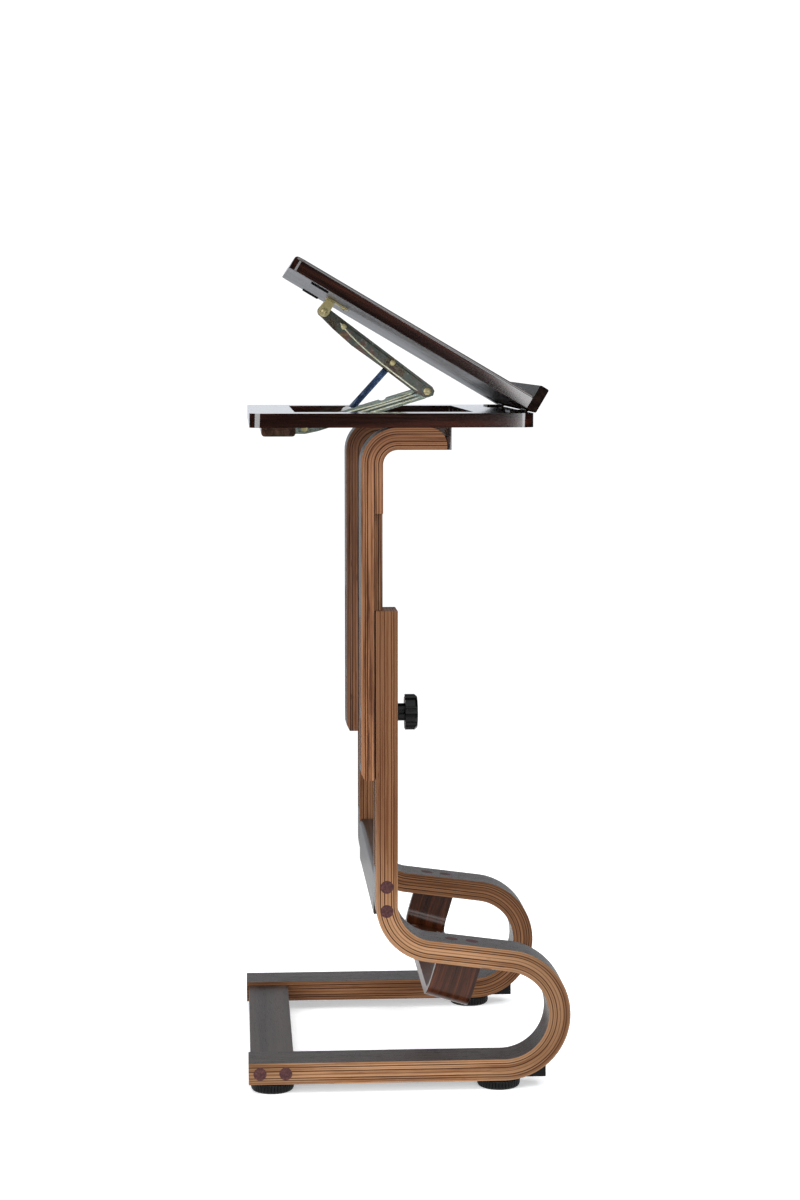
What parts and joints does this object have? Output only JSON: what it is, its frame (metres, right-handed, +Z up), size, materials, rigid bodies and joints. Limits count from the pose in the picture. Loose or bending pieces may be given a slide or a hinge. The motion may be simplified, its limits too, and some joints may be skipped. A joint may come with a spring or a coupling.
{
  "type": "adjustable album stand",
  "caption": "Bentwood stand on levelling feet with a clamped sliding mast on each side, carrying a tray with a hinged, lift-assisted tilting panel and a ledge.",
  "frame": {"origin": "on the floor, under the centre of the base", "axes": "+Z up, +X towards the reader's side where the ledge is, Y across the stand; the near leg is on the -Y side"},
  "size_m": [0.37, 0.426, 0.9543],
  "materials": {
    "bent_ply": "laminated beech, stained and satin lacquered, with dark glue lines on the edges",
    "dark_wood": "dark wenge-brown veneer, high gloss lacquer",
    "brace_wood": "brown veneer, glossy lacquer",
    "plug_wood": "plum-brown end grain, satin lacquer",
    "black_plastic": "fine satin",
    "black_rubber": "matte",
    "steel": "satin zinc plating",
    "olive_zinc": "olive and yellow passivated zinc, faintly iridescent",
    "yellow_zinc": "yellow passivated zinc",
    "blue_zinc": "blue passivated zinc with bright edges",
    "white_nylon": "smooth"
  },
  "bodies": {
    "base": {"near_leg": "bent_ply", "far_leg": "bent_ply", "rear_stretcher": "brace_wood", "post_rail": "brace_wood", "lower_brace": "brace_wood", "leg_screws": "steel", "screw_plugs": "plug_wood", "brace_screws": "steel", "near_nose_block": "black_rubber", "far_nose_block": "black_rubber", "foot_inserts": "yellow_zinc", "near_clamp_bolt": "steel", "far_clamp_bolt": "steel", "guide_washers": "steel", "knob_washers": "steel"},
    "foot_near_rear": {"near_rear_foot": "black_plastic", "near_rear_stud": "steel"},
    "foot_near_front": {"near_front_foot": "black_plastic", "near_front_stud": "steel"},
    "foot_far_rear": {"far_rear_foot": "black_plastic", "far_rear_stud": "steel"},
    "foot_far_front": {"far_front_foot": "black_plastic", "far_front_stud": "steel"},
    "knob_near": {"near_knob": "black_plastic", "near_knob_insert": "yellow_zinc"},
    "knob_far": {"far_knob": "black_plastic", "far_knob_insert": "yellow_zinc"},
    "tray_frame": {"near_mast": "bent_ply", "far_mast": "bent_ply", "front_batten": "dark_wood", "batten_screws": "steel", "tray": "dark_wood", "tray_screws": "steel", "rear_batten": "brace_wood", "rear_batten_screws": "steel", "panel_latch_stud": "black_rubber", "near_tray_leaf": "yellow_zinc", "far_tray_leaf": "yellow_zinc", "near_hinge_pin": "yellow_zinc", "far_hinge_pin": "yellow_zinc", "lower_bracket": "olive_zinc", "lower_bracket_screws": "yellow_zinc", "lower_pivot_pin": "yellow_zinc"},
    "lift_lower_arm": {"lower_arm": "olive_zinc", "elbow_pin": "yellow_zinc"},
    "panel": {"tilt_panel": "dark_wood", "ledge": "dark_wood", "bumpers": "black_rubber", "near_panel_leaf": "yellow_zinc", "far_panel_leaf": "yellow_zinc", "panel_bracket": "yellow_zinc", "upper_pivot_pin": "yellow_zinc", "panel_bracket_screws": "yellow_zinc"},
    "lift_upper_arm": {"upper_arm": "olive_zinc", "strut_pin": "yellow_zinc"},
    "lift_strut": {"strut": "blue_zinc", "strut_rollers": "white_nylon"}
  },
  "joints": [
    {"name": "mast_slide", "type": "slide", "parent": "base", "child": "tray_frame", "axis": [0, 0, 1], "range_m": [-0.1, 0.05]},
    {"name": "panel_tilt", "type": "hinge", "parent": "tray_frame", "child": "panel", "pos_m": [0.138, 0, 0.7806], "axis": [0, 1, 0], "range_deg": [-30, 10]},
    {"name": "lower_arm_pivot", "type": "hinge", "parent": "tray_frame", "child": "lift_lower_arm", "pos_m": [-0.113, 0, 0.7554], "axis": [0, 1, 0], "range_deg": [-4, 11.2]},
    {"name": "upper_arm_pivot", "type": "hinge", "parent": "panel", "child": "lift_upper_arm", "pos_m": [-0.0895, 0, 0.8947], "axis": [0, 1, 0], "range_deg": [-11, 4]},
    {"name": "strut_pivot", "type": "hinge", "parent": "lift_upper_arm", "child": "lift_strut", "pos_m": [-0.00738, 0, 0.83334], "axis": [0, 1, 0], "range_deg": [-27, 80]},
    {"name": "knob_near_turn", "type": "hinge", "parent": "base", "child": "knob_near", "pos_m": [0, -0.188, 0.438], "axis": [1, 0, 0], "continuous": true},
    {"name": "foot_near_rear_turn", "type": "hinge", "parent": "base", "child": "foot_near_rear", "pos_m": [-0.1575, -0.188, 0], "axis": [0, 0, 1], "continuous": true},
    {"name": "foot_near_front_turn", "type": "hinge", "parent": "base", "child": "foot_near_front", "pos_m": [0.1045, -0.188, 0], "axis": [0, 0, 1], "continuous": true},
    {"name": "knob_far_turn", "type": "hinge", "parent": "base", "child": "knob_far", "pos_m": [0, 0.188, 0.438], "axis": [1, 0, 0], "continuous": true},
    {"name": "foot_far_rear_turn", "type": "hinge", "parent": "base", "child": "foot_far_rear", "pos_m": [-0.1575, 0.188, 0], "axis": [0, 0, 1], "continuous": true},
    {"name": "foot_far_front_turn", "type": "hinge", "parent": "base", "child": "foot_far_front", "pos_m": [0.1045, 0.188, 0], "axis": [0, 0, 1], "continuous": true}
  ],
  "couplings": [
    {"joint": "lower_arm_pivot", "follows": "panel_tilt", "ratio": -0.372},
    {"joint": "upper_arm_pivot", "follows": "panel_tilt", "ratio": 0.34},
    {"joint": "strut_pivot", "follows": "panel_tilt", "ratio": -2.623}
  ]
}
